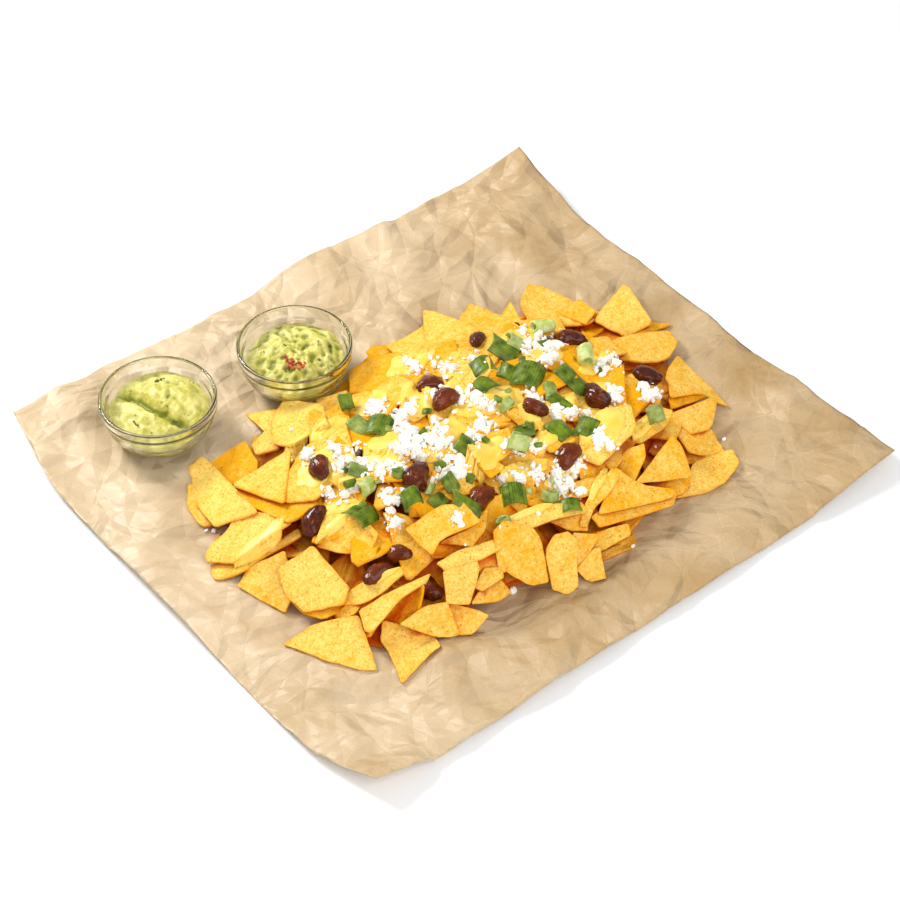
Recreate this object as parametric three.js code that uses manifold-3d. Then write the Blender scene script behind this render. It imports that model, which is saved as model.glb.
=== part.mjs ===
// Nachos as they are served: a heap of tortilla chips on a sheet of baking paper, with kidney beans
// and cut spring onion on the chips, and two small glass bowls of guacamole beside them.
// Millimetres, +Z up. The origin is under the middle of the sheet, on the surface that it lies on,
// and +X runs along the sheet's long edge.

import * as THREE from "three";
import { mergeVertices } from "three/addons/utils/BufferGeometryUtils.js";
import Module from "manifold-3d";

const wasm = await Module();
wasm.setup();

// Driving dimensions

const GAP = 0.3; // left between pieces that touch

// The sheet is a pre-cut piece of baking paper. Where nothing presses it flat it is crumpled.
const SHEET = { long: 420, wide: 380, thick: 0.6, columns: 17, rows: 15, relief: 2.8, jitter: 6 };
// How far each corner of the sheet is drawn in and lifted, and how far along the edges that reaches.
const CORNER_CURLS = [
  { corner: [1, 1], draw: [0, -16], lift: 24, reach: 110 },
  { corner: [-1, 1], draw: [13, -8], lift: 8, reach: 90 },
  { corner: [1, -1], draw: [-3, 3], lift: 5, reach: 80 },
  { corner: [-1, -1], draw: [13, 4], lift: 9, reach: 60 },
];

// The heap is a mound with a rounded-rectangle plan, covered in chips that stick out of it all round.
const HEAP = { middle: [-3, -29], long: 296, wide: 192, square: 2.5, height: 36, shoulder: 0.7 };
const CHIP = { side: 60, thick: 2.6, blunt: 4, sizes: [0.84, 1.04], tilt: 26 };
// Rings of chips from the foot of the heap to its top: how many, how far out as a share of the plan,
// how much they lean back from the slope in degrees, and how far they stand proud of the mound.
const CHIP_RINGS = [
  { count: 22, share: 0.99, lean: 10, proud: 5 },
  { count: 12, share: 0.72, lean: -3, proud: 4.5 },
  { count: 5, share: 0.34, lean: 3, proud: 6 },
];

const BEAN = { long: 18.5, wide: 12, high: 10, bend: 0.16 };
const ONION = { wall: 1.1 };

// A stackable glass bowl: a collar round the mouth, and below it a round body on a small flat foot.
const BOWL = { mouth: 36.8, high: 33, wall: 2.4, collar: 7.5, step: 1.6, foot: 21, floor: 4.5, segments: 20 };
const BOWL_SPOTS = { left: [-129, 120], right: [-35, 105] };
const BOWL_CLEAR = 1.5; // kept free of chips around a bowl

// The dips: the level they reach at the glass, the swell in the middle, how far the top leans and which
// way in degrees, and the lumps on it.
const DIPS = {
  left: { level: 17, swell: 6.5, lean: 3.5, way: 35, lumps: { count: 7, high: 2.6, wide: 9, seed: 5 } },
  right: { level: 18.5, swell: 5, lean: 1.5, way: 130, lumps: { count: 9, high: 2.2, wide: 7, seed: 11 } },
};

const COLOURS = {
  paper: 0xd9b98a,
  chip: 0xf2b33a,
  bean: 0x4a1d12,
  onion: 0x5f9a32,
  glass: 0xe8f0ee,
  dip: 0xb9bf4f,
};

// Where the beans lie on the heap: X, Y and the way that they point, in degrees.
const BEAN_SPOTS = [
  [-92, 2, 20],
  [-116, -24, 75],
  [-112, -78, 50],
  [-88, -98, 120],
  [-94, -77, 10],
  [-52, -43, 95],
  [-31, -77, 100],
  [3, 17, 45],
  [0, -4, 85],
  [60, 37, 110],
  [107, 1, 30],
  [80, -52, 140],
  [36, -44, 150],
  [30, -85, 100],
  [122, -52, 30],
];

// Cut spring onion: X, Y, radius, sweep of the leaf in degrees (a full turn is a ring),
// length, heading of its axis, and how far the axis is tipped up.
const ONION_SPOTS = [
  [-43, 41, 5, 360, 11, 70, 35],
  [-50, 18, 9, 110, 15, 100, 12],
  [-42, 9, 10, 120, 18, 30, 8],
  [-95, -42, 10, 120, 19, 10, -12],
  [-76, -13, 7, 130, 13, 140, 20],
  [-80, -28, 5, 150, 16, 10, -8],
  [-61, -33, 4, 360, 6, 60, 60],
  [-70, -55, 7, 250, 13, 55, 10],
  [-44, -61, 5, 360, 12, 80, 20],
  [-47, -79, 6, 170, 21, 135, 14],
  [-15, -84, 8, 150, 15, 60, 18],
  [-34, -98, 5, 360, 5, 100, 55],
  [2, -98, 6, 360, 7, 40, 50],
  [6, -110, 7, 130, 11, 60, 10],
  [-18, -42, 8, 120, 13, 110, 25],
  [5, -66, 7, 360, 11, 40, 55],
  [22, -34, 6, 360, 6, 100, 25],
  [20, -53, 5, 150, 15, 160, 5],
  [38, -65, 9, 130, 17, 100, 18],
  [52, -72, 8, 130, 15, 20, 12],
  [60, 15, 9, 130, 21, 120, 30],
  [35, 4, 8, 140, 15, 70, 15],
  [54, -16, 10, 150, 21, 30, 10],
  [57, -35, 4, 170, 13, 60, 8],
  [75, -34, 9, 130, 26, 120, 20],
  [55, -47, 5, 150, 18, 110, 15],
  [71, 16, 7, 200, 11, 130, 35],
  [100, 22, 5, 360, 15, 160, 5],
  [99, -20, 6, 360, 12, 60, 25],
  [96, -88, 6, 360, 11, 80, 45],
];

// Helpers

// Random numbers from 0 to 1 that are the same each time.
function dice(seed) {
  let state = seed;
  return () => {
    state = (Math.imul(state, 1664525) + 1013904223) >>> 0;
    return state / 4294967296;
  };
}

const radians = THREE.MathUtils.degToRad;

// A geometry's closed surface, with shared vertices merged.
function closed(geometry) {
  const bare = geometry.clone();
  bare.deleteAttribute("normal");
  bare.deleteAttribute("uv");
  return mergeVertices(bare, 1e-3);
}

function solidOf(geometry) {
  const surface = closed(geometry);
  return new wasm.Manifold(
    new wasm.Mesh({
      numProp: 3,
      vertProperties: surface.attributes.position.array,
      triVerts: new Uint32Array(surface.index.array),
    }),
  );
}

function geometryOf(solid) {
  const { vertProperties, triVerts } = solid.getMesh();
  return new THREE.BufferGeometry()
    .setAttribute("position", new THREE.BufferAttribute(vertProperties, 3))
    .setIndex(new THREE.BufferAttribute(triVerts, 1));
}

// Moves every vertex of a geometry with a function of its place.
function reshape(geometry, move) {
  const place = geometry.attributes.position;
  const point = new THREE.Vector3();
  for (let i = 0; i < place.count; i++) {
    move(point.fromBufferAttribute(place, i));
    place.setXYZ(i, point.x, point.y, point.z);
  }
  return geometry;
}

// A lathe profile of [radius, height] pairs turned about +Z.
function turned(profile, segments) {
  const points = profile.map(([r, z]) => new THREE.Vector2(r, z));
  return new THREE.LatheGeometry(points, segments).rotateX(Math.PI / 2);
}

function mesh(name, geometry, colour, roughness, extra = {}) {
  const made = new THREE.Mesh(
    geometry,
    new THREE.MeshStandardMaterial({ color: colour, roughness, metalness: 0, ...extra }),
  );
  made.name = name;
  return made;
}

// The heap's plan and profile

// How far out a point is: 0 in the middle of the heap and 1 at its foot.
function outness(x, y) {
  const along = Math.abs(x - HEAP.middle[0]) / (HEAP.long / 2);
  const across = Math.abs(y - HEAP.middle[1]) / (HEAP.wide / 2);
  return (along ** HEAP.square + across ** HEAP.square) ** (1 / HEAP.square);
}

function moundHeight(x, y) {
  return HEAP.height * Math.max(0, 1 - outness(x, y) ** 2) ** HEAP.shoulder;
}

// The point of the plan at a share of the way from the middle to the foot. The turn goes round the heap
// as it does round an ellipse, so that equal turns are nearly equal steps along the foot.
function onPlan(turn, share) {
  const [x, y] = [HEAP.long * Math.cos(turn), HEAP.wide * Math.sin(turn)];
  const [mx, my] = HEAP.middle;
  const reach = share / outness(mx + x, my + y);
  return [mx + x * reach, my + y * reach];
}

// The mound's slope at a place, as the turn that lays a flat thing on it.
function slopeTurn(x, y) {
  const step = 6;
  const dx = (moundHeight(x + step, y) - moundHeight(x - step, y)) / (2 * step);
  const dy = (moundHeight(x, y + step) - moundHeight(x, y - step)) / (2 * step);
  const normal = new THREE.Vector3(-dx, -dy, 1).normalize();
  return new THREE.Quaternion().setFromUnitVectors(new THREE.Vector3(0, 0, 1), normal);
}

// Sheet

const HEAP_MARGIN = 0.22; // share of the heap's plan, beyond its foot, where the sheet still lies flat
const BOWL_MARGIN = 24;

// 0 where the heap or a bowl presses the sheet flat, 1 where it is free.
function freedom(x, y) {
  if (outness(x, y) < 1 + HEAP_MARGIN) return 0;
  const nearBowl = Object.values(BOWL_SPOTS).some(
    ([bx, by]) => Math.hypot(x - bx, y - by) < BOWL.foot + BOWL_MARGIN,
  );
  return nearBowl ? 0 : 1;
}

// The crumpled sheet, or a thicker block with the same top.
function sheet(top, thick) {
  const { long, wide, columns, rows, relief, jitter } = SHEET;
  const roll = dice(7);
  const crumple = Array.from({ length: (columns + 1) * (rows + 1) }, () => [roll(), roll(), roll()]);
  const box = new THREE.BoxGeometry(long, wide, thick, columns, rows, 1).translate(0, 0, top - thick / 2);
  return reshape(box, (p) => {
    const column = Math.round((p.x / long + 0.5) * columns);
    const row = Math.round((p.y / wide + 0.5) * rows);
    const [a, b, c] = crumple[row * (columns + 1) + column];
    const free = freedom(p.x, p.y);
    const corner = { x: p.x, y: p.y };
    if (column > 0 && column < columns) p.x += (a - 0.5) * 2 * jitter;
    if (row > 0 && row < rows) p.y += (b - 0.5) * 2 * jitter;
    p.z += c * relief * free;
    for (const { corner: [cx, cy], draw, lift, reach } of CORNER_CURLS) {
      const away = Math.hypot(corner.x - (cx * long) / 2, corner.y - (cy * wide) / 2);
      const share = free * Math.max(0, 1 - away / reach) ** 1.5;
      p.x += draw[0] * share;
      p.y += draw[1] * share;
      p.z += lift * share;
    }
  });
}

// Heap of chips

// A flat three-cornered chip with blunt corners, its middle at the origin.
function chipGeometry(size) {
  const radius = (CHIP.side * size) / Math.sqrt(3);
  const turn = CHIP.blunt / radius;
  const middle = new THREE.Vector2();
  const corners = [0, 120, 240].flatMap((at) =>
    [-turn, turn].map((t) => new THREE.Vector2(radius, 0).rotateAround(middle, radians(at) + t)),
  );
  const plate = { depth: CHIP.thick, bevelEnabled: false };
  return new THREE.ExtrudeGeometry(new THREE.Shape(corners), plate).translate(0, 0, -CHIP.thick / 2);
}

function turnAbout(axis, degrees) {
  return new THREE.Quaternion().setFromAxisAngle(axis, radians(degrees));
}

function chipsOnMound() {
  const roll = dice(23);
  const up = new THREE.Vector3(0, 0, 1);
  const floor = SHEET.thick + GAP;
  return CHIP_RINGS.flatMap(({ count, share, lean, proud }) =>
    Array.from({ length: count }, (_, k) => {
      const turn = ((k + 0.5 * roll()) / count) * 2 * Math.PI;
      const [x, y] = onPlan(turn, share * (0.96 + 0.08 * roll()));
      const out = new THREE.Vector3(x - HEAP.middle[0], y - HEAP.middle[1], 0).normalize();
      const along = new THREE.Vector3().crossVectors(up, out);
      const pose = turnAbout(along, -lean + CHIP.tilt * (roll() - 0.5))
        .multiply(turnAbout(out, CHIP.tilt * (roll() - 0.5)))
        .multiply(slopeTurn(x, y))
        .multiply(turnAbout(up, 360 * roll()));
      const chip = chipGeometry(THREE.MathUtils.lerp(...CHIP.sizes, roll())).applyQuaternion(pose);
      return solidOf(chip.translate(x, y, floor + moundHeight(x, y) + proud));
    }),
  );
}

function mound() {
  const steps = 5;
  const profile = [[0, 0]];
  for (let k = 0; k <= steps; k++) {
    const share = Math.cos((k / steps) * (Math.PI / 2));
    profile.push([share, HEAP.height * (1 - share ** 2) ** HEAP.shoulder]);
  }
  profile[profile.length - 1][0] = 0;
  const dome = turned(profile, 24);
  return reshape(dome, (p) => {
    const share = Math.hypot(p.x, p.y);
    const [x, y] = share > 1e-6 ? onPlan(Math.atan2(p.y, p.x), share) : HEAP.middle;
    p.set(x, y, p.z + SHEET.thick + GAP);
  });
}

function heap() {
  const below = sheet(SHEET.thick + GAP, 100);
  let pile = solidOf(mound());
  for (const chip of chipsOnMound()) pile = pile.add(chip);
  for (const [x, y] of Object.values(BOWL_SPOTS)) {
    const room = new THREE.CylinderGeometry(BOWL.mouth + BOWL_CLEAR, BOWL.mouth + BOWL_CLEAR, 200, 24);
    pile = pile.subtract(solidOf(room.rotateX(Math.PI / 2).translate(x, y, 0)));
  }
  const pieces = pile.subtract(solidOf(below)).decompose();
  return pieces.sort((a, b) => b.volume() - a.volume())[0];
}

// Toppings

// The height of the highest of some meshes at a place, or that of the sheet beside them.
function topAt(meshes, x, y) {
  const ray = new THREE.Raycaster(new THREE.Vector3(x, y, 500), new THREE.Vector3(0, 0, -1));
  const hits = ray.intersectObjects(meshes);
  return hits.length ? hits[0].point.z : SHEET.thick;
}

// A kidney bean lying on its side, bent in plan and fuller at its back.
function beanGeometry() {
  const { long, wide, high, bend } = BEAN;
  return reshape(closed(new THREE.SphereGeometry(1, 10, 5).rotateX(Math.PI / 2)), (p) => {
    const curve = bend * wide * (1 - 2 * p.x ** 2);
    p.set((p.x * long) / 2, (p.y * wide) / 2 + curve, (p.z * high) / 2);
  });
}

// A length of spring onion leaf: part of a tube, or a whole ring, its axis along +X.
function onionGeometry(radius, sweep, length) {
  const inner = radius - ONION.wall;
  const half = radians(sweep / 2);
  const shape = new THREE.Shape();
  if (sweep >= 360) {
    shape.absarc(0, 0, radius, 0, 2 * Math.PI);
    shape.holes.push(new THREE.Path().absarc(0, 0, inner, 0, 2 * Math.PI, true));
  } else {
    shape.absarc(0, 0, radius, Math.PI / 2 - half, Math.PI / 2 + half);
    shape.absarc(0, 0, inner, Math.PI / 2 + half, Math.PI / 2 - half, true);
    shape.closePath();
  }
  const curveSegments = sweep >= 360 ? 5 : 3;
  const band = new THREE.ExtrudeGeometry(shape, { depth: length, bevelEnabled: false, curveSegments });
  return band.translate(0, 0, -length / 2).rotateX(Math.PI / 2).rotateZ(Math.PI / 2);
}

// The height at which a piece, already turned, comes to rest clear of what lies below it.
function restHeight(geometry, x, y, carriers) {
  const place = geometry.attributes.position;
  let height = 0;
  for (let i = 0; i < place.count; i++) {
    const under = topAt(carriers, x + place.getX(i), y + place.getY(i));
    height = Math.max(height, under - place.getZ(i));
  }
  const solid = solidOf(geometry).translate([x, y, 0]);
  const touches = (other) => !other.userData.solid.intersect(solid.translate([0, 0, height])).isEmpty();
  while (carriers.some(touches)) height += GAP;
  return height + GAP;
}

// A mesh that later pieces may come to rest on, with its solid in the part's frame.
function carrier(piece) {
  piece.updateMatrixWorld(true);
  piece.userData.solid = solidOf(piece.geometry.clone().applyMatrix4(piece.matrixWorld));
  return piece;
}

function number(k) {
  return String(k + 1).padStart(2, "0");
}

// Lays a topping on the slope of the heap, resting on what is already there, and adds it to that.
function lay(laid, name, geometry, [x, y], material) {
  geometry.applyQuaternion(slopeTurn(x, y));
  const piece = mesh(name, geometry, ...material);
  piece.position.set(x, y, restHeight(geometry, x, y, laid));
  laid.push(carrier(piece));
}

function heapAndToppings() {
  const laid = [carrier(mesh("chip_heap", geometryOf(heap()), COLOURS.chip, 0.7))];
  BEAN_SPOTS.forEach(([x, y, heading], k) => {
    const bean = beanGeometry().rotateZ(radians(heading));
    lay(laid, `bean_${number(k)}`, bean, [x, y], [COLOURS.bean, 0.25]);
  });
  ONION_SPOTS.forEach(([x, y, radius, sweep, length, heading, tip], k) => {
    const leaf = onionGeometry(radius, sweep, length).rotateY(-radians(tip)).rotateZ(radians(heading));
    lay(laid, `spring_onion_${number(k)}`, leaf, [x, y], [COLOURS.onion, 0.4]);
  });
  return laid;
}

// Bowls and dips

// The bowl's inside from the edge of its flat floor up to the collar, as [radius, height] pairs:
// a quarter of an ellipse.
function insideLine() {
  const { mouth, wall, step, foot, floor, high, collar } = BOWL;
  const flat = foot - wall - 3;
  const wide = mouth - wall - step - flat;
  const deep = high - collar - floor;
  const shares = [0, 1 / 8, 1 / 3, 2 / 3, 1];
  return shares.map((t) => [flat + wide * Math.sqrt(1 - (1 - t) ** 2), floor + deep * t]);
}

function bowlGeometry() {
  const { mouth, high, wall, collar, step, foot, floor } = BOWL;
  const shoulder = high - collar;
  const inside = insideLine();
  return turned(
    [
      [0, 0],
      [foot, 0],
      ...inside.slice(1, 4).map(([r, z]) => [r + wall, z - 1.5]),
      [mouth - step, shoulder - 1.2],
      [mouth, shoulder],
      [mouth, high - 1],
      [mouth - 1, high],
      [mouth - wall, high - 0.6],
      [mouth - wall, shoulder + 1.4],
      ...inside.reverse(),
      [0, floor],
    ],
    BOWL.segments,
  );
}

// The dip's uneven top: a swell that leans to one side, with rounded lumps on it.
function dipTop({ level, swell, lean, way, lumps }) {
  const roll = dice(lumps.seed);
  const reach = BOWL.mouth - BOWL.wall;
  const spots = Array.from({ length: lumps.count }, () => {
    const spot = new THREE.Vector2(reach * 0.85 * Math.sqrt(roll()), 0);
    spot.rotateAround(new THREE.Vector2(), 2 * Math.PI * roll());
    return { spot, high: lumps.high * (2 * roll() - 0.7) };
  });
  return (x, y) => {
    const here = new THREE.Vector2(x, y);
    const out = Math.min(1, here.length() / reach);
    const fall = (lean * here.rotateAround(new THREE.Vector2(), -radians(way)).x) / reach;
    here.set(x, y);
    const bumps = spots.map(
      ({ spot, high }) => high * Math.exp(-((here.distanceTo(spot) / lumps.wide) ** 2)),
    );
    return level + swell * (1 - out ** 2) - fall + bumps.reduce((sum, bump) => sum + bump, 0);
  };
}

function dipGeometry(dip) {
  const steps = 6;
  const reach = BOWL.mouth - BOWL.wall;
  const rings = Array.from({ length: steps + 1 }, (_, k) => [reach * (1 - k / steps), 1]);
  const top = dipTop(dip);
  const blank = reshape(turned([[0, 0], [reach, 0], ...rings], BOWL.segments), (p) => {
    p.z = p.z > 0.5 ? top(p.x, p.y) : 0;
  });
  const side = insideLine().map(([r, z]) => [r - 2 * GAP, z + GAP]);
  const hollow = turned([[0, side[0][1]], ...side, [0, side.at(-1)[1]]], BOWL.segments);
  return geometryOf(solidOf(blank).intersect(solidOf(hollow)));
}

function bowlGroup(side) {
  const [x, y] = BOWL_SPOTS[side];
  const group = new THREE.Group();
  group.position.set(x, y, SHEET.thick + GAP);
  group.add(
    mesh(`glass_bowl_${side}`, bowlGeometry(), COLOURS.glass, 0.05, { transparent: true, opacity: 0.35 }),
    mesh(`guacamole_${side}`, dipGeometry(DIPS[side]), COLOURS.dip, 0.6),
  );
  return group;
}

// The whole

const nachos = new THREE.Group();
nachos.name = "nachos";
nachos.add(
  mesh("paper_sheet", sheet(SHEET.thick, SHEET.thick), COLOURS.paper, 0.8),
  ...heapAndToppings(),
  bowlGroup("left"),
  bowlGroup("right"),
);

export default nachos;
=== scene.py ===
# %% [markdown]
# # Nachos on baking paper
# A heap of tortilla chips lies on a crumpled sheet of baking paper. On it are kidney beans, cut spring
# onion, crumbled feta and melted cheese, and behind it stand two glass bowls of guacamole. The frame holds
# a plain solid for each of these pieces, and this lesson puts the finished looks in their place.

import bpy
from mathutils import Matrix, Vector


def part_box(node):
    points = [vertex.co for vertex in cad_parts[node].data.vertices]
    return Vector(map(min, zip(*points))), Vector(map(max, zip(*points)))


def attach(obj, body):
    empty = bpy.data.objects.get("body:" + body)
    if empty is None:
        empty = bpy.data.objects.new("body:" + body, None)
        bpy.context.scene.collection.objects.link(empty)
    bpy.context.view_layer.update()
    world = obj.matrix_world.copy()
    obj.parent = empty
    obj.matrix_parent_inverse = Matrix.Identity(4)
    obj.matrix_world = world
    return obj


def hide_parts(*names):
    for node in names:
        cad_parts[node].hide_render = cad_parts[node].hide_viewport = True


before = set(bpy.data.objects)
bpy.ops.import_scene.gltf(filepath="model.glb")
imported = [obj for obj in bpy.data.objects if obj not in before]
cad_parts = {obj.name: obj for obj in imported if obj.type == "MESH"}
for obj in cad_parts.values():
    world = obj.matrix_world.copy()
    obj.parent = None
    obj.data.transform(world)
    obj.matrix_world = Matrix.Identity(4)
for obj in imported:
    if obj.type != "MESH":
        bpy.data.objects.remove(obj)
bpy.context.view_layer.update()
print("nodes in the frame:", len(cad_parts))

# %% What the lesson uses
import math
import random

import bmesh
import bpy
import numpy as np
from mathutils import Matrix, Vector, noise
from mathutils.bvhtree import BVHTree
from mathutils.geometry import delaunay_2d_cdt

MM = 0.001
scene = bpy.context.scene
UP = Vector((0, 0, 1))

# %% [markdown]
# ## The camera, and places in the picture
# The sheet's four straight edges give the camera: it looks down at 45 degrees with a long lens. The same
# numbers turn a place in the picture into a line of sight, so that a chip or a bean can be laid where it is
# seen. The picture is taken as 900 pixels wide and high.

# %% Camera
EYE = Vector((-694.7, -855.8, 1099.9)) * MM
AIM = Vector((2.0, -4.7, 0.0)) * MM
FOCAL = 2500
HALF = 450

camera = bpy.data.objects.new("camera", bpy.data.cameras.new("camera"))
camera.data.sensor_width = 36
camera.data.lens = 36 * FOCAL / (2 * HALF)
camera.location = EYE
camera.rotation_euler = (AIM - EYE).to_track_quat("-Z", "Y").to_euler()
scene.collection.objects.link(camera)
scene.camera = camera
print("lens:", camera.data.lens, "mm")

# %% Lines of sight
FORWARD = (AIM - EYE).normalized()
RIGHT = FORWARD.cross(UP).normalized()
RISE = RIGHT.cross(FORWARD)


def sight(px, py):
    return (FORWARD + RIGHT * ((px - HALF) / FOCAL) - RISE * ((py - HALF) / FOCAL)).normalized()


def at_height(px, py, z):
    way = sight(px, py)
    return EYE + way * ((z - EYE.z) / way.z)


def in_picture(point):
    ray = Vector(point) - EYE
    depth = ray.dot(FORWARD)
    return HALF + FOCAL * ray.dot(RIGHT) / depth, HALF - FOCAL * ray.dot(RISE) / depth


print("middle of the sheet is seen at", [round(v) for v in in_picture((0, 0, 0))])

# %% [markdown]
# ## Wires for the materials
# A material is a net of nodes. Writing it as sums and products is easier to read than wiring each node by
# hand, so one small class wraps a socket. Numbers go through Math nodes and colours through Mix nodes.


# %% Wire
class Wire:
    def __init__(self, tree, socket=None):
        self.tree = tree
        self.socket = socket

    def node(self, kind, settings=None, sockets=None, out=0):
        made = self.tree.nodes.new(kind)
        for name, value in (settings or {}).items():
            setattr(made, name, value)
        for name, value in (sockets or {}).items():
            if isinstance(value, Wire):
                self.tree.links.new(value.socket, made.inputs[name])
            else:
                made.inputs[name].default_value = value
        return Wire(self.tree, made.outputs[out])

    def port(self, name):
        return Wire(self.tree, self.socket.node.outputs[name])

    def math(self, operation, *values):
        return self.node("ShaderNodeMath", {"operation": operation}, dict(enumerate(values)))

    def __add__(self, other):
        return self.math("ADD", self, other)

    def __sub__(self, other):
        return self.math("SUBTRACT", self, other)

    def __rsub__(self, other):
        return self.math("SUBTRACT", other, self)

    def __mul__(self, other):
        return self.math("MULTIPLY", self, other)

    __radd__ = __add__
    __rmul__ = __mul__

    def between(self, low, high):
        settings = {"interpolation_type": "SMOOTHSTEP"}
        return self.node("ShaderNodeMapRange", settings, {"Value": self, "From Min": low, "From Max": high})

    def mix(self, first, second):
        sockets = {0: self, 6: first, 7: second}
        return self.node("ShaderNodeMix", {"data_type": "RGBA"}, sockets, out=2)

    def vector(self, operation, *values, out=0):
        return self.node("ShaderNodeVectorMath", {"operation": operation}, dict(enumerate(values)), out)

    def attribute(self, name):
        return self.node("ShaderNodeAttribute", {"attribute_name": name}, out=2)

    def grain(self, size, detail=3.0, rough=0.55, place=None):
        place = place or self.node("ShaderNodeTexCoord", out=3)
        sockets = {"Vector": place, "Scale": 1 / size, "Detail": detail, "Roughness": rough}
        return self.node("ShaderNodeTexNoise", None, sockets)

    def cells(self, size, place=None):
        place = place or self.node("ShaderNodeTexCoord", out=3)
        return self.node("ShaderNodeTexVoronoi", None, {"Vector": place, "Scale": 1 / size})

    def bump(self, height, depth, strength=1.0):
        return self.node("ShaderNodeBump", None, {"Height": height, "Distance": depth, "Strength": strength})


# %% Finish
def finish(name, make, **constants):
    material = bpy.data.materials.new(name)
    material.use_nodes = True
    shader = material.node_tree.nodes["Principled BSDF"]
    for socket, value in constants.items():
        shader.inputs[socket.replace("_", " ")].default_value = value
    for socket, wire in make(Wire(material.node_tree)).items():
        material.node_tree.links.new(wire.socket, shader.inputs[socket])
    return material


def rgb(red, green, blue):
    share = [v / 255 for v in (red, green, blue)]
    return tuple(v / 12.92 if v <= 0.04045 else ((v + 0.055) / 1.055) ** 2.4 for v in share) + (1,)


# %% [markdown]
# ## Making pieces
# Each piece is one mesh whose place is in its points, and it rides on the frame's only body. The pieces of
# one kind are joined: a template is made once with mesh operators, and its points are moved for each copy.

# %% Piece from a bmesh
def piece(name, mesh, material, nodes=(), smooth=True):
    obj = bpy.data.objects.new(name, mesh)
    mesh.name = name
    mesh.materials.clear()
    mesh.materials.append(material)
    for polygon in mesh.polygons:
        polygon.use_smooth = smooth
    scene.collection.objects.link(obj)
    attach(obj, "root")
    if nodes:
        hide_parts(*nodes)
    triangles = sum(len(p.vertices) - 2 for p in mesh.polygons)
    print(name, "has", triangles, "triangles")
    return obj


def mesh_of(bm, name="mesh"):
    mesh = bpy.data.meshes.new(name)
    bm.to_mesh(mesh)
    bm.free()
    return mesh


# %% Templates and joined copies
def template(bm):
    bm.verts.index_update()
    points = np.array([v.co for v in bm.verts])
    faces = [[v.index for v in f.verts] for f in bm.faces]
    bm.free()
    return points, faces


class Joined:
    def __init__(self):
        self.points = []
        self.faces = []
        self.marks = {}
        self.count = 0

    def add(self, points, faces, **marks):
        self.points.append(points)
        self.faces.extend([[i + self.count for i in face] for face in faces])
        for name, values in marks.items():
            spread = np.broadcast_to(np.asarray(values, float), len(points))
            self.marks.setdefault(name, []).append(spread)
        self.count += len(points)

    def mesh(self, name):
        mesh = bpy.data.meshes.new(name)
        mesh.from_pydata(np.concatenate(self.points).tolist(), [], self.faces)
        for mark, values in self.marks.items():
            attribute = mesh.attributes.new(mark, "FLOAT", "POINT")
            attribute.data.foreach_set("value", np.concatenate(values).astype(np.float32))
        return mesh


# %% [markdown]
# ## Baking paper
# The sheet was crushed and flattened again, so it is a net of sharp creases between small flat facets. The
# solid in the frame has its outline and its curled corners. A copy of its upper side is cut finely, and
# three nets of random triangles, coarse to fine, lift its points.

# %% Creases
SHEET = (420 * MM, 380 * MM)


def crease_field(spacing, height, seed):
    dice = random.Random(seed)
    far_x, far_y = (side / 2 + 3 * spacing for side in SHEET)
    count = int(4 * far_x * far_y / spacing**2)
    spots = [Vector((dice.uniform(-far_x, far_x), dice.uniform(-far_y, far_y))) for _ in range(count)]
    spots, _, faces, *_ = delaunay_2d_cdt(spots, [], [], 0, 1e-7)
    tops = [Vector((s.x, s.y, height * (dice.random() - 0.5))) for s in spots]
    net = BVHTree.FromPolygons(tops, faces)
    return lambda x, y: net.ray_cast(Vector((x, y, 1)), -UP)[0].z


creases = [
    crease_field(60 * MM, 9.0 * MM, 3),
    crease_field(30 * MM, 5.5 * MM, 5),
    crease_field(14 * MM, 2.4 * MM, 8),
]
print("crease nets:", len(creases))

# %% [markdown]
# Under the heap and the bowls the paper is pressed flat. The plan of the heap is a rounded rectangle: its
# outness is 0 in the middle and 1 on its edge.

# %% What presses on the sheet
BOWLS = {"left": (-129 * MM, 120 * MM), "right": (-35 * MM, 105 * MM)}
FOOT = 21 * MM
MIDDLE = Vector((-3, -29)) * MM
HALF_LONG = 163 * MM
HALF_WIDE = 110 * MM
SQUARE = 2.5


def outness(x, y):
    along = abs(x - MIDDLE.x) / HALF_LONG
    across = abs(y - MIDDLE.y) / HALF_WIDE
    return (along**SQUARE + across**SQUARE) ** (1 / SQUARE)


def freedom(x, y):
    near = min(math.hypot(x - bx, y - by) for bx, by in BOWLS.values())
    from_bowl = (near - FOOT) / (28 * MM)
    from_heap = 0.15 + (outness(x, y) - 0.8) / 0.4
    return min(1.0, max(0.0, from_bowl), max(0.15, from_heap))


# %% Sheet
SHEET_CUTS = 11
SMOOTHINGS = 14
SHEET_LIFT = 2.5 * MM
SHEET_LOW = 0.7 * MM
SHEET_THICK = 0.25 * MM
CURL_KEPT = 0.45

bm = bmesh.new()
bm.from_mesh(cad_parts["paper_sheet"].data)
bmesh.ops.remove_doubles(bm, verts=bm.verts, dist=0.01 * MM)
bmesh.ops.delete(bm, geom=[f for f in bm.faces if f.normal.z < 0.3], context="FACES")
bmesh.ops.subdivide_edges(bm, edges=bm.edges, cuts=SHEET_CUTS, use_grid_fill=True)
inner = [v for v in bm.verts if not v.is_boundary]
for _ in range(SMOOTHINGS):
    bmesh.ops.smooth_vert(bm, verts=inner, factor=0.5, use_axis_z=True)
for vert in bm.verts:
    x, y, _ = vert.co
    free = freedom(x, y)
    lift = sum(field(x, y) for field in creases) + SHEET_LIFT
    vert.co.z = max(vert.co.z * max(free, CURL_KEPT) + lift * free, SHEET_LOW)
bm.normal_update()
paper_net = BVHTree.FromBMesh(bm)
bmesh.ops.solidify(bm, geom=bm.faces, thickness=SHEET_THICK)
bmesh.ops.recalc_face_normals(bm, faces=bm.faces)


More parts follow.
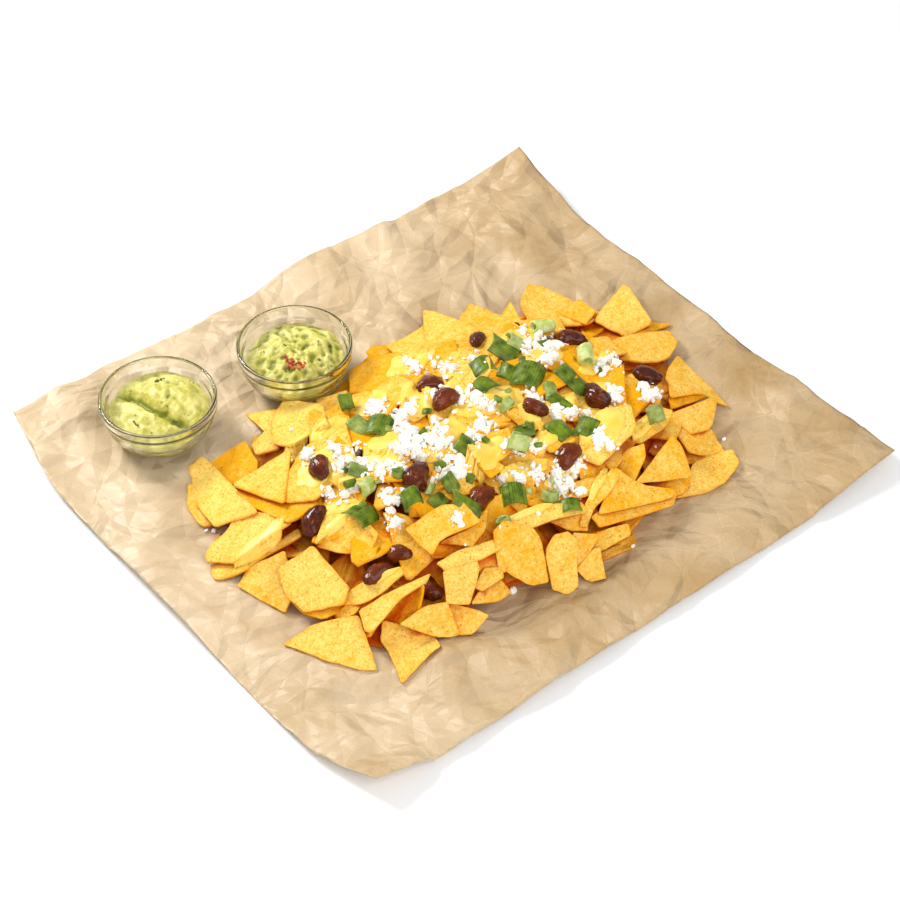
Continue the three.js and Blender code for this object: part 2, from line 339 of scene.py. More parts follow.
def paper_top(x, y):
    spot = paper_net.ray_cast(Vector((x, y, 0.2)), -UP)[0]
    return spot.z if spot else 0.0


# %% [markdown]
# The finest creases are drawn by the finish. The distance to the nearest edge of a net of cells rises like a
# roof over each cell: flat sides that meet in straight sharp lines. Nets of several sizes, each drawn out in
# its own direction, are added up as hills and hollows: size in millimetres, turn, squeeze and slope. Along
# the creases the paper is paler: partly fibres whitened by bending, partly a painted highlight.

# %% Paper finish
CRUMPLES = [(52, 0.3, 0.55, 0.16), (33, 1.5, 0.5, -0.18), (21, 2.6, 0.6, 0.18), (13, 0.9, 0.7, -0.14)]


def crumple(w, place, size, turn, squeeze):
    along = w.vector("DOT_PRODUCT", place, (math.cos(turn), math.sin(turn), 0), out=1)
    across = w.vector("DOT_PRODUCT", place, (-math.sin(turn), math.cos(turn), 0), out=1)
    spot = w.node("ShaderNodeCombineXYZ", None, {0: along, 1: across * squeeze})
    settings = {"feature": "DISTANCE_TO_EDGE", "voronoi_dimensions": "2D"}
    return w.node("ShaderNodeTexVoronoi", settings, {"Vector": spot, "Scale": 1 / size}) * size


def paper_look(w):
    place = w.node("ShaderNodeTexCoord", out=3)
    drift = w.vector("SUBTRACT", w.grain(110 * MM, 1).port("Color"), (0.5, 0.5, 0.5))
    bent = w.vector("ADD", place, w.vector("MULTIPLY", drift, (60 * MM, 60 * MM, 0)))
    fibre = w.grain(1.2 * MM, 4, 0.7)
    cloud = w.grain(60 * MM, 2)
    roofs = [crumple(w, bent, size * MM, turn, squeeze) for size, turn, squeeze, _ in CRUMPLES]
    height = sum(roof * slope for roof, (*_, slope) in zip(roofs, CRUMPLES))
    lines = sum(roof.between(0.35 * MM, 0) for roof in roofs[1:])
    across = w.vector("DOT_PRODUCT", place, tuple(RIGHT), out=1)
    # Across the sheet the tan is paler on the left and darker on the right: painted light from the lamp on
    # the left.
    shade = (cloud * 0.7 + fibre * 0.3).between(0.3, 0.7) * 0.5 + across.between(0.22, -0.2) * 0.5
    tan = shade.mix(rgb(172, 138, 86), rgb(219, 197, 164))
    # The crease lines are paler: partly whitened fibres, partly a painted highlight.
    return {
        "Base Color": (lines * 0.12 * cloud.between(0.4, 0.6)).mix(tan, rgb(242, 224, 192)),
        "Roughness": 0.38 + fibre * 0.2,
        "Normal": w.bump(height + fibre * (0.05 * MM), 1.0),
    }


paper_finish = finish("baking_paper", paper_look, Specular_IOR_Level=0.5)
paper = piece("baking_paper", mesh_of(bm), paper_finish, ["paper_sheet"])

# %% [markdown]
# ## The shape of the heap
# The chips lie on a low mound. A line of sight that meets the mound gives the place of a chip's corner, and
# lifting the corner along that line keeps it in the same place in the picture.

# %% Mound
HEIGHT = 36 * MM


def mound(x, y):
    return HEIGHT * max(0.0, 1 - outness(x, y) ** 2) ** 0.75


def on_mound(px, py, lift=0.0):
    z = 60 * MM
    while z > 0:
        spot = at_height(px, py, z)
        if mound(spot.x, spot.y) >= z:
            break
        z -= 0.5 * MM
    return at_height(px, py, max(z, 0) + 1.2 * MM + lift)


# %% [markdown]
# ## Chips
# A chip is a thin piece of fried dough, cut as a triangle with straight edges. It is bowed, wavy and rough.
# The template is a disc of rings made by insetting a circle, with the same disc turned over below it. Its
# rim is then drawn out to each chip's outline.

# %% Chip template
def chip_template(sides, insets):
    bm = bmesh.new()
    bmesh.ops.create_circle(bm, cap_ends=True, segments=sides, radius=1)
    for inset in insets:
        middle = max(bm.faces, key=lambda f: len(f.verts))
        bmesh.ops.inset_individual(bm, faces=[middle], thickness=inset, use_even_offset=True)
    middle = max(bm.faces, key=lambda f: len(f.verts))
    bmesh.ops.poke(bm, faces=[middle])
    for vert in bm.verts:
        vert.co.z = 0.5 if vert.co.xy.length < 0.995 else 0.0
    under = bmesh.ops.duplicate(bm, geom=bm.verts[:] + bm.edges[:] + bm.faces[:])["geom"]
    bmesh.ops.scale(bm, vec=(1, 1, -1), verts=[g for g in under if isinstance(g, bmesh.types.BMVert)])
    bmesh.ops.reverse_faces(bm, faces=[g for g in under if isinstance(g, bmesh.types.BMFace)])
    bmesh.ops.remove_doubles(bm, verts=bm.verts, dist=1e-4)
    points, faces = template(bm)
    turn = np.arctan2(points[:, 1], points[:, 0]) / (2 * math.pi) * sides
    return {
        "faces": faces,
        "out": np.linalg.norm(points[:, :2], axis=1),
        "turn": np.round(turn).astype(int) % sides,
        "up": points[:, 2],
        "sides": sides,
    }


FINE = chip_template(72, (0.012, 0.025, 0.08, 0.13, 0.15, 0.16, 0.16))
PLAIN = chip_template(42, (0.015, 0.06, 0.2, 0.22, 0.22))
print("a chip has", len(FINE["faces"]), "faces")

# %% One chip
CHIP_THICK = 1.7 * MM
BLISTER_THICK = 1.4 * MM
CHIP_CLEAR = 1.0 * MM
BLUNT_ANGLE = math.radians(130)
BLUNT_CUT = 0.14
SHARP_CUT = 0.05
chips = Joined()
under_chips = Joined()


def blunted(corners):
    cut = []
    for before, here, after in zip(corners[-1:] + corners[:-1], corners, corners[1:] + corners[:1]):
        blunt = (before - here).angle(after - here) > BLUNT_ANGLE
        share = BLUNT_CUT if blunt else SHARP_CUT
        cut += [here.lerp(before, share), here.lerp(after, share)]
    return cut


def resampled(corners, count):
    loop = np.array([*corners, corners[0]])
    steps = np.linalg.norm(np.diff(loop, axis=0), axis=1)
    along = np.concatenate([[0], np.cumsum(steps)])
    places = np.linspace(0, along[-1], count, endpoint=False)
    return np.stack([np.interp(places, along, loop[:, k]) for k in range(3)], axis=1)


def add_chip(joined, shape, outline, bow, seed, tone):
    dice = random.Random(seed)
    rim = resampled(blunted(outline), shape["sides"])
    centre = rim.mean(axis=0)
    nicks = [1 + 0.035 * noise.noise(Vector(p) / (6 * MM) + Vector((0, 0, seed))) for p in rim]
    rim = centre + (rim - centre) * np.array(nicks)[:, None]
    normal = np.cross(rim - centre, np.roll(rim, -1, axis=0) - centre).sum(axis=0)
    normal /= np.linalg.norm(normal)
    if normal @ (np.array(EYE) - centre) < 0:
        normal = -normal
        rim = rim[::-1]
    side = (rim[0] - centre) / np.linalg.norm(rim[0] - centre)
    ahead = np.cross(normal, side)
    plain = centre + shape["out"][:, None] * (rim[shape["turn"]] - centre)
    u = (plain - centre) @ side
    v = (plain - centre) @ ahead
    bend = dice.uniform(0, math.pi)
    half = max(np.hypot(u, v).max(), 10 * MM)
    curve = bow * ((u * math.cos(bend) + v * math.sin(bend)) / half) ** 2
    points = np.empty_like(plain)
    blister = np.zeros(len(u))
    for i, (a, b) in enumerate(zip(u, v)):
        spot = Vector((a, b, seed * 0.37))
        wave = noise.noise(spot / (22 * MM)) * 1.6 * MM + noise.noise(spot / (8 * MM)) * 0.35 * MM
        blister[i] = max(0.0, noise.noise(spot / (6.5 * MM)) - 0.2)
        here = plain[i] + normal * (curve[i] + wave)
        here[2] = max(here[2], paper_top(here[0], here[1]) + CHIP_CLEAR)
        points[i] = here + normal * shape["up"][i] * (CHIP_THICK + BLISTER_THICK * blister[i])
    joined.add(points, shape["faces"], tone=tone, edge=shape["out"] ** 12, blister=blister)


# %% [markdown]
# The outline of the heap in the picture is a chain of chip corners. More chips fill the heap underneath and
# round the back, in rings of so many chips at a share of the way out and a share of the mound's height.
# Each of these is drawn in towards the middle until it lies inside that outline.

# %% Outline of the heap
OUTLINE = np.array([
    (203, 458), (243, 441), (244, 411), (285, 402), (318, 397), (349, 369), (389, 348), (424, 311),
    (461, 319), (470, 307), (500, 317), (511, 303), (528, 288), (546, 290), (595, 316), (625, 280),
    (652, 322), (671, 323), (679, 340), (680, 357), (729, 405), (718, 397), (712, 430), (722, 450),
    (739, 460), (728, 479), (700, 491), (672, 507), (634, 530), (632, 551), (605, 558), (605, 583),
    (568, 596), (545, 584), (510, 580), (510, 597), (489, 616), (474, 635), (442, 654), (402, 689),
    (385, 655), (377, 672), (282, 646), (320, 621), (284, 613), (237, 589), (240, 578), (213, 581),
    (206, 553), (228, 531), (200, 527), (186, 512), (190, 471),
], float)


def in_outline(px, py):
    start, end = OUTLINE, np.roll(OUTLINE, -1, axis=0)
    spans = (start[:, 1] > py) != (end[:, 1] > py)
    rise = np.where(spans, end[:, 1] - start[:, 1], 1)
    cross = start[:, 0] + (py - start[:, 1]) / rise * (end[:, 0] - start[:, 0])
    return (spans & (px < cross)).sum() % 2 == 1


# %% Chips under the others
dice = random.Random(41)
RINGS = [(24, 0.9, 0.3), (24, 0.78, 0.65), (20, 0.58, 1.2), (14, 0.36, 1.18), (8, 0.14, 1.16)]
serial = 0


def slope_normal(x, y, step=8 * MM):
    slope_x = (mound(x + step, y) - mound(x - step, y)) / (2 * step)
    slope_y = (mound(x, y + step) - mound(x, y - step)) / (2 * step)
    return Vector((-slope_x, -slope_y, 1.2)).normalized()


def triangle(spot, level, heading, size, sway):
    lie = (slope_normal(*spot) + sway).normalized()
    side = lie.orthogonal().normalized()
    middle = Vector((*spot, max(4 * MM, level * mound(*spot) - 2.5 * MM)))
    turns = [Matrix.Rotation(heading + corner * 2 * math.pi / 3, 3, lie) for corner in range(3)]
    return [middle + turn @ side * size for turn in turns]


for count, share, level in RINGS:
    for k in range(count):
        turn = (k + dice.uniform(0, 0.6)) / count * 2 * math.pi
        way = Vector((HALF_LONG * math.cos(turn), HALF_WIDE * math.sin(turn)))
        spot = MIDDLE + way * (share / outness(*(MIDDLE + way)))
        sway = Vector((dice.uniform(-0.22, 0.22), dice.uniform(-0.22, 0.22), 0))
        heading, size = dice.uniform(0, 2 * math.pi), dice.uniform(29, 36) * MM
        for _ in range(40):
            outline = triangle(spot, level, heading, size, sway)
            if all(in_outline(*in_picture(p)) for p in resampled(outline, 12)):
                break
            spot = spot.lerp(MIDDLE, 0.03)
        serial += 1
        # The chips underneath get tones towards orange: painted shade for chips that lie under others.
        add_chip(under_chips, PLAIN, outline, dice.uniform(-4, 4) * MM, serial, dice.uniform(-1.2, 0.1))
print("chips underneath:", serial)

# %% [markdown]
# The chips that can be made out are given by the corners seen in the picture. Each has a height on the
# mound, a tone from orange (-1) to pale (1), and two tilts: how far its upper edge and its right edge stand
# up from the mound. A flat plane through the lifted corners then carries the chip.

# %% Chips in the picture
SEEN = [
    (0, 0.3, 0, 0, [(187, 488), (187, 512), (202, 527), (236, 521), (238, 495)]),
    (6, -0.7, 7, 0, [(210, 463), (226, 452), (246, 440), (253, 455), (259, 462), (256, 476), (230, 486)]),
    (5, 0.7, 0, 4, [(190, 471), (204, 459), (213, 466), (231, 484), (262, 516), (216, 529), (198, 508)]),
    (1, 0.2, 0, 0, [(210, 566), (237, 565), (300, 528), (302, 537), (272, 552), (243, 574), (214, 582)]),
    (6, 0.7, 2, 0, [(212, 545), (227, 532), (240, 506), (294, 522), (239, 564), (208, 563), (206, 556)]),
    (0, 0.2, 3, 0, [(237, 589), (246, 570), (285, 550), (296, 590), (285, 613), (262, 601)]),
    (1, -0.5, 0, 0, [(290, 600), (344, 590), (348, 608), (323, 620), (302, 613)]),
    (6, 0.6, 5, 1, [(278, 568), (313, 545), (350, 588), (344, 606), (304, 613), (283, 593)]),
    (2, 0.4, 2, 0, [(282, 645), (316, 622), (359, 615), (378, 671), (364, 673), (325, 664)]),
    (7, -0.6, 0, 0, [(234, 490), (284, 500), (318, 500), (303, 516), (287, 523), (252, 507)]),
    (12, 0.3, 0, -3, [(231, 485), (292, 449), (285, 505)]),
    (5, 0.7, 3, 0, [(244, 411), (282, 410), (280, 448), (256, 456), (252, 446), (267, 434)]),
    (9, 0.6, 3, 2, [(274, 420), (284, 405), (300, 401), (324, 406), (330, 428), (292, 448), (272, 444)]),
    (5, -0.5, 6, 0, [(322, 416), (347, 402), (352, 428), (327, 440)]),
    (8, 0.3, 2, 0, [(285, 478), (304, 448), (347, 424), (356, 460), (316, 501), (284, 505)]),
    (5, 0.1, 4, 0, [(316, 547), (338, 523), (362, 518), (380, 534), (372, 552), (343, 555)]),
    (8, 0.9, 0, 0, [(314, 545), (326, 512), (362, 503), (366, 516), (340, 524)]),
    (3, -0.1, 3, 0, [(333, 615), (354, 598), (362, 600), (356, 613), (340, 620)]),
    (6, 0.3, 4, 0, [(340, 605), (352, 587), (402, 566), (404, 574), (384, 592), (362, 604)]),
    (0, -0.9, 6, 6, [(371, 633), (392, 600), (428, 584), (420, 612), (400, 624), (382, 640)]),
    (8, 0.4, 0, 3, [(360, 612), (386, 594), (431, 574), (428, 583), (400, 599), (372, 633), (365, 632)]),
    (2, 0.3, 3, 0, [(383, 620), (434, 633), (441, 653), (402, 690), (390, 655), (380, 640)]),
    (6, 0.3, 4, -3, [(401, 624), (426, 605), (448, 602), (462, 638), (434, 637)]),
    (5, 0.1, 4, 5, [(446, 602), (478, 610), (489, 615), (474, 634), (459, 639)]),
    (9, 0.8, 8, 0, [(443, 571), (477, 560), (480, 570), (470, 605), (446, 604)]),
    (3, 0.1, 2, 0, [(470, 606), (482, 586), (498, 576), (511, 593), (500, 601)]),
    (7, 0.2, 3, 0, [(474, 588), (484, 568), (502, 566), (504, 577), (482, 591)]),
    (9, 0.7, 2, 0, [(436, 565), (460, 550), (498, 539), (502, 549), (480, 560), (447, 574)]),
    (5, -0.2, 5, 0, [(476, 558), (504, 548), (506, 573), (480, 580)]),
    (12, -0.1, 4, 0, [(405, 529), (440, 505), (464, 503), (482, 522), (441, 540), (432, 556), (420, 546)]),
    (9, -0.3, 3, 0, [(438, 542), (470, 530), (488, 506), (486, 530), (472, 547)]),
    (10, -0.1, 9, 0, [(493, 530), (504, 520), (532, 526), (541, 538), (549, 582), (530, 586), (497, 567)]),
    (9, 0.3, 9, 0, [(545, 552), (554, 535), (568, 531), (579, 540), (576, 560), (579, 586),
                    (568, 595), (552, 590)]),
    (6, 0.1, 7, 0, [(572, 533), (600, 534), (587, 558), (576, 570)]),
    (4, 0.2, 7, 0, [(575, 570), (592, 549), (600, 547), (606, 581), (592, 586)]),
    (6, 0.1, 2, 0, [(590, 534), (628, 524), (631, 535), (602, 551), (590, 550)]),
    (1, 0.0, 0, 0, [(598, 553), (632, 541), (632, 550), (602, 559)]),
    (6, -0.2, 2, 0, [(588, 520), (612, 504), (676, 494), (673, 507), (640, 516), (598, 529)]),
    (10, -0.3, 3, 0, [(615, 468), (640, 485), (676, 490), (672, 499), (598, 515), (606, 490)]),
    (9, -0.4, 5, 5, [(616, 470), (625, 450), (644, 443), (646, 456), (634, 484)]),
    (12, 0.0, 5, 0, [(672, 435), (681, 446), (693, 477), (633, 485)]),
    (4, 0.4, 0, 4, [(670, 500), (688, 480), (692, 464), (718, 453), (733, 450), (740, 464),
                    (727, 481), (708, 492)]),
    (3, 0.0, 4, 0, [(670, 428), (690, 424), (712, 430), (721, 453), (716, 458), (688, 452)]),
    (8, 0.1, 5, 0, [(665, 416), (718, 395), (711, 430), (690, 435)]),
    (4, -0.8, 0, 0, [(668, 394), (716, 392), (692, 404), (670, 410)]),
    (9, 0.2, 4, -4, [(665, 374), (677, 355), (730, 407), (700, 394), (670, 398)]),
    (7, 0.1, 4, 0, [(594, 347), (625, 336), (670, 328), (680, 340), (669, 360), (640, 364)]),
    (3, -0.4, 0, 0, [(622, 336), (645, 322), (672, 322), (650, 334)]),
    (10, 0.4, 5, 0, [(625, 279), (653, 323), (627, 336), (593, 321)]),
    (4, 0.2, 5, 0, [(519, 303), (528, 287), (548, 290), (604, 315), (588, 328), (530, 326)]),
    (9, -0.3, 3, 0, [(556, 312), (580, 300), (596, 312), (586, 325)]),
    (9, -0.1, 5, 0, [(511, 302), (523, 324), (498, 322)]),
    (5, -0.1, 5, 0, [(459, 323), (470, 306), (504, 316), (524, 332), (490, 342)]),
    (6, 0.3, 5, 0, [(423, 310), (434, 311), (480, 330), (474, 354), (440, 350), (424, 341)]),
    (3, 0.2, 4, 0, [(387, 350), (427, 326), (454, 348), (404, 362)]),
    (6, -0.7, 5, 0, [(347, 371), (398, 350), (410, 364), (382, 392), (349, 393)]),
    (3, 0.3, 4, 0, [(315, 400), (348, 392), (354, 414), (322, 412)]),
    (8, 0.2, 0, 3, [(370, 392), (397, 374), (416, 384), (402, 406)]),
    (8, 0.2, 3, 0, [(414, 354), (446, 347), (482, 352), (480, 368), (440, 375)]),
    (12, 0.8, 3, 3, [(440, 392), (490, 358), (492, 374), (466, 394)]),
    (8, 0.0, 3, -3, [(436, 436), (455, 412), (480, 409), (490, 430), (471, 452)]),
    (9, -0.3, 3, 4, [(472, 452), (485, 434), (510, 430), (517, 450), (495, 465)]),
    (10, -0.6, 2, -4, [(464, 450), (482, 445), (504, 470), (490, 480)]),
    (7, 0.1, 2, 0, [(446, 477), (471, 470), (478, 494), (454, 496)]),
    (8, -0.1, 2, 0, [(506, 414), (524, 402), (546, 426), (528, 434)]),
    (8, 0.0, 2, 3, [(540, 443), (557, 427), (576, 440), (560, 457)]),
    (11, 0.9, 2, 2, [(578, 428), (600, 410), (631, 405), (637, 430), (600, 466), (579, 456)]),
    (4, -0.4, 2, 0, [(576, 457), (602, 462), (618, 476), (606, 494), (582, 489)]),
    (9, 0.0, 0, 3, [(612, 468), (620, 476), (611, 492), (594, 508), (587, 527), (579, 527), (586, 500)]),
    (11, 0.5, 2, 0, [(504, 518), (540, 506), (583, 500), (589, 511), (555, 519), (522, 531)]),
    (6, -0.3, 3, 0, [(548, 521), (589, 510), (588, 531), (570, 531)]),
    (5, 0.0, 2, 0, [(570, 483), (604, 475), (602, 494), (572, 500)]),
    (9, 0.4, 2, 4, [(616, 440), (655, 407), (674, 410), (666, 427), (640, 444)]),
    (6, 0.0, 2, 4, [(644, 436), (668, 415), (684, 418), (676, 441)]),
    (6, -0.1, 2, 0, [(604, 383), (640, 372), (665, 384), (660, 408), (625, 415)]),
    (7, 0.1, 2, 0, [(584, 342), (608, 335), (628, 352), (606, 360)]),
    (7, -0.1, 3, 0, [(518, 322), (558, 315), (566, 330), (530, 343)]),
    (1, -0.5, 2, 0, [(632, 490), (690, 477), (686, 494), (650, 503)]),
    (0, -0.3, 0, 0, [(598, 553), (634, 533), (636, 545), (606, 560)]),
]


def carrying_plane(spots):
    spots = np.array(spots)
    centre = spots.mean(axis=0)
    local = spots - centre
    steady = np.eye(2) * len(spots) * (5 * MM) ** 2
    slope = np.linalg.solve(local[:, :2].T @ local[:, :2] + steady, local[:, :2].T @ local[:, 2])
    return Vector(centre), Vector((-slope[0], -slope[1], 1)).normalized()


for lift, tone, stand, roll, corners in SEEN:
    serial += 1
    px, py = np.array(corners, float).T
    tilt = stand * (py.mean() - py) / np.ptp(py) * 2 + roll * (px - px.mean()) / np.ptp(px) * 2
    spots = [on_mound(*corner, (lift + up) * MM) for corner, up in zip(corners, tilt)]
    centre, normal = carrying_plane(spots)
    ways = [sight(*corner) for corner in corners]
    outline = [EYE + way * ((centre - EYE).dot(normal) / way.dot(normal)) for way in ways]
    bow = random.Random(serial).uniform(-4, 4) * MM
    add_chip(chips, FINE, outline, bow, serial, tone)
print("chips in all:", serial)


# %% [markdown]
# Deep between the chips the dough is painted a dark orange: painted shade where other chips shut out
# the light. How deep a point lies is found by casting a few rays upwards from it and counting those that
# meet another chip.

# %% Depth in the heap
def net_of(*parts):
    points = []
    faces = []
    for part in parts:
        faces += [[i + len(points) for i in face] for face in part.faces]
        points += np.concatenate(part.points).tolist()
    return BVHTree.FromPolygons(points, faces)


ground = net_of(chips, under_chips)
DEPTH_REACH = 32 * MM
FLAT_SPOKES = [(0.5, k * math.pi / 3) for k in range(6)]
STEEP_SPOKES = [(1.4, k * 2 * math.pi / 3) for k in range(3)]
SPOKES = [UP]
for rise, turn in FLAT_SPOKES + STEEP_SPOKES:
    SPOKES.append(Vector((math.cos(turn), math.sin(turn), rise)).normalized())


def depth(point):
    starts = [(Vector(point) + way * 1.2 * MM, way) for way in SPOKES]
    met = [ground.ray_cast(start, way, DEPTH_REACH)[0] for start, way in starts]
    return sum(spot is not None for spot in met) / len(SPOKES)


for joined in (chips, under_chips):
    joined.marks["deep"] = [[depth(point) for point in np.concatenate(joined.points)]]
    print("mean depth:", round(float(np.mean(joined.marks["deep"][0])), 2))


# %% Chip finish
def chip_look(w):
    tone = w.attribute("tone")
    edge = w.attribute("edge")
    blister = w.attribute("blister")
    patch = w.grain(14 * MM, 3)
    mottle = w.grain(3.0 * MM, 3, 0.65)
    fine = w.grain(1.3 * MM, 4, 0.75)
    speck = w.cells(2.2 * MM).between(0.34, 0.14) * w.grain(6 * MM, 2).between(0.46, 0.6)
    warm = (patch + mottle * 1.6 - 0.8 - tone * 0.42).between(0.0, 1.0)
    gold = warm.mix(rgb(253, 222, 118), rgb(248, 176, 14))
    gold = (fine.between(0.44, 0.64) * 0.62).mix(gold, rgb(238, 152, 8))
    gold = (speck * 0.6).mix(gold, rgb(184, 92, 6))
    gold = (edge * 0.5).mix(gold, rgb(240, 158, 16))
    # Painted shade: deep between the chips the colour turns a dark orange.
    gold = (w.attribute("deep").between(0.3, 0.88) * 0.92).mix(gold, rgb(204, 60, 0))
    return {
        "Base Color": gold,
        "Roughness": 0.72 - blister * 0.4,
        "Normal": w.bump(fine + mottle * 0.9, 0.7 * MM, 0.9),
    }


chip_finish = finish("tortilla_chip", chip_look, Specular_IOR_Level=0.08)
piece("tortilla_chips", chips.mesh("tortilla_chips"), chip_finish, ["chip_heap"])
piece("tortilla_chips_under", under_chips.mesh("tortilla_chips_under"), chip_finish)

# %% [markdown]
# ## Core of the heap
# Between the chips there is only shadow, but a heap of loose chips would let the paper show through. A
# smaller copy of the heap's solid, the orange brown of chips in shade, closes it from below. It is raised
# again towards the middle.

# %% Core
CORE_SHARES = (0.8, 0.76, 0.36, 1)
CORE_RISE = 0.6

bm = bmesh.new()
bm.from_mesh(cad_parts["chip_heap"].data)
bmesh.ops.remove_doubles(bm, verts=bm.verts, dist=0.01 * MM)
shrink = Matrix.Diagonal(CORE_SHARES)
about = Matrix.Translation((*MIDDLE, 1 * MM))
bmesh.ops.transform(bm, matrix=about @ shrink @ about.inverted(), verts=bm.verts)
for vert in bm.verts:
    vert.co.z *= 1 + max(0.0, 1 - outness(vert.co.x, vert.co.y) / CORE_RISE)


def core_look(w):
    cloud = w.grain(12 * MM, 4)
    return {"Base Color": cloud.mix(rgb(186, 66, 2), rgb(236, 128, 12)), "Roughness": 0.7 + cloud * 0.2}


piece("heap_core", mesh_of(bm), finish("chips_in_shade", core_look))

# %% [markdown]
# ## Laying toppings
# A topping is laid where its solid is in the frame, and comes down onto the chips. Rays cast straight down
# find the chips under it, and the slope that it lies on.

# %% Landing
def height(x, y):
    spot = ground.ray_cast(Vector((x, y, 0.2)), -UP)[0]
    return spot.z if spot else paper_top(x, y)


def lie(x, y, reach):
    turns = [math.pi / 4 * k for k in range(8)]
    ring = [(x + reach * math.cos(t), y + reach * math.sin(t)) for t in turns]
    spots = [(a, b, height(a, b)) for a, b in [(x, y), *ring]]
    return carrying_plane(spots)


def settled(points, sunk):
    gaps = [z - height(x, y) for x, y, z in points[::5]]
    return points - np.array([0, 0, np.percentile(gaps, sunk) + 0.3 * MM])


def land_in_picture(px, py):
    spot, normal, *_ = ground.ray_cast(EYE, sight(px, py))
    if spot is None:
        spot, normal, *_ = paper_net.ray_cast(EYE, sight(px, py))
    return spot, (normal if normal.dot(EYE - spot) > 0 else -normal)


def lean(normal, heading):
    return UP.rotation_difference(normal).to_matrix() @ Matrix.Rotation(math.radians(heading), 3, "Z")


def node_middle(name):
    low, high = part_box(name)
    return (low + high) / 2


# %% [markdown]
# ## Melted cheese
# Cheese sauce was poured over the chips. It lies in smooth tongues that bridge the gaps. Each tongue is the
# chip template drawn to a wavy oval and domed. It lies on the mean height of what is under it, or on the
# chip itself where that is higher.

# %% Tongues of cheese
CHEESE = [
    (262, 540, 34, 7, -40), (330, 430, 22, 8, -35), (318, 470, 26, 13, -40), (342, 508, 24, 9, -15),
    (336, 527, 16, 6, -40), (384, 572, 20, 8, -25), (350, 470, 24, 16, -20), (392, 448, 30, 22, -30),
    (455, 380, 24, 9, -35), (470, 405, 24, 14, -20), (420, 400, 26, 16, -30), (440, 440, 26, 18, -20),
    (500, 400, 24, 14, -20), (545, 412, 28, 13, -10), (604, 432, 22, 20, -50), (590, 395, 24, 14, -20),
    (540, 360, 24, 13, -20), (520, 340, 20, 9, -20), (600, 362, 22, 9, -10), (480, 460, 26, 14, -20),
    (525, 468, 26, 9, -15), (545, 440, 20, 10, -20), (530, 516, 26, 5, -18), (598, 486, 20, 5, -65),
    (648, 425, 22, 6, -40), (410, 364, 24, 9, -20), (372, 402, 18, 10, -30), (290, 448, 22, 5, -30),
    (565, 470, 22, 9, -30),
]
CHEESE_HIGH = 1.8 * MM
CHEESE_DEEP = -2.5 * MM
cheese = Joined()


def add_cheese(px, py, long, wide, heading, seed):
    turn = math.radians(heading)
    points = np.empty((len(FINE["out"]), 3))
    for i, (out, k, up) in enumerate(zip(FINE["out"], FINE["turn"], FINE["up"])):
        angle = 2 * math.pi * k / FINE["sides"]
        ripple = 1 + 0.3 * noise.noise(Vector((1.6 * math.cos(angle), 1.6 * math.sin(angle), seed)))
        along, across = out * long * ripple * math.cos(angle), out * wide * ripple * math.sin(angle)
        dx = along * math.cos(turn) - across * math.sin(turn)
        dy = along * math.sin(turn) + across * math.cos(turn)
        x, y, _ = on_mound(px + dx, py + dy, 6 * MM)
        centre, _ = lie(x, y, 6 * MM)
        dome = CHEESE_HIGH * math.sqrt(max(0.0, 1 - out**2)) if up > 0 else CHEESE_DEEP
        under = max(centre.z - 0.2 * MM, height(x, y))
        points[i] = (x, y, max(under + dome, paper_top(x, y) + 0.4 * MM))
    cheese.add(points, FINE["faces"])


for k, tongue in enumerate(CHEESE):
    add_cheese(*tongue, k)


def cheese_look(w):
    cloud = w.grain(8 * MM, 3)
    return {
        "Base Color": cloud.between(0.3, 0.7).mix(rgb(252, 202, 66), rgb(254, 218, 104)),
        "Roughness": 0.28 + cloud * 0.2,
        "Normal": w.bump(w.grain(3 * MM, 2), 0.4 * MM, 0.5),
    }


cheese_finish = finish("melted_cheese", cheese_look)
piece("melted_cheese", cheese.mesh("melted_cheese"), cheese_finish)
ground = net_of(chips, under_chips, cheese)

# %% [markdown]
# ## Kidney beans
# Each bean is a ball drawn out and bent a little, with a shallow dent on its inner side. Cooked beans are
# wrinkled and wet, so the skin is uneven and very glossy.

# %% Beans
bm = bmesh.new()
bmesh.ops.create_uvsphere(bm, u_segments=36, v_segments=22, radius=1)
bmesh.ops.rotate(bm, matrix=Matrix.Rotation(math.pi / 2, 3, "Y"), verts=bm.verts)
BEAN_POINTS, BEAN_FACES = template(bm)
HALF_BEAN = Vector((9.8, 6.7, 6.0))
BEAN_HEADINGS = [58, 29, -6, 73, -39, 38, 20, -23, 5, 33, -39, 82, 114, 22, 120]
BEAN_SIZES = [0.95, 1.15, 1.05, 0.95, 0.8, 1.15, 1.1, 0.9, 1.0, 0.75, 1.0, 1.1, 0.9, 1.0, 1.05]
beans = Joined()
bean_nodes = sorted(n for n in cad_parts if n.startswith("bean_"))
for k, (node, heading, scale) in enumerate(zip(bean_nodes, BEAN_HEADINGS, BEAN_SIZES)):
    dice = random.Random(100 + k)
    x, y, _ = node_middle(node)
    spot, normal = lie(x, y, 6 * MM)
    turn = lean(normal, heading)
    size = HALF_BEAN * MM * scale
    taper = dice.uniform(-0.24, 0.24)
    points = np.empty_like(BEAN_POINTS)
    for i, (a, b, c) in enumerate(BEAN_POINTS):
        bend = 0.16 * (1 - 2 * a * a)
        dent = 1 - 0.12 * math.exp(-(a * a) * 6) * max(0.0, -b)
        wrinkle = 1 + 0.12 * noise.noise(Vector((a * 1.2, b * 2.0, c * 2.0 + 5 * k)))
        wrinkle -= 0.5 * max(0.0, 0.2 - abs(noise.noise(Vector((a * 1.1, b * 2.4 + 9 * k, c * 2.4)))))
        round_it = dent * (1 - taper * a)
        shaped = Vector((a * size.x, (b * round_it + bend) * size.y, c * round_it * size.z))
        points[i] = spot + turn @ (shaped * wrinkle)
    marks = dict(zip(("long", "wide", "deep"), BEAN_POINTS.T + 3.7 * k))
    beans.add(settled(points, 18), BEAN_FACES, tone=dice.uniform(0, 1), **marks)


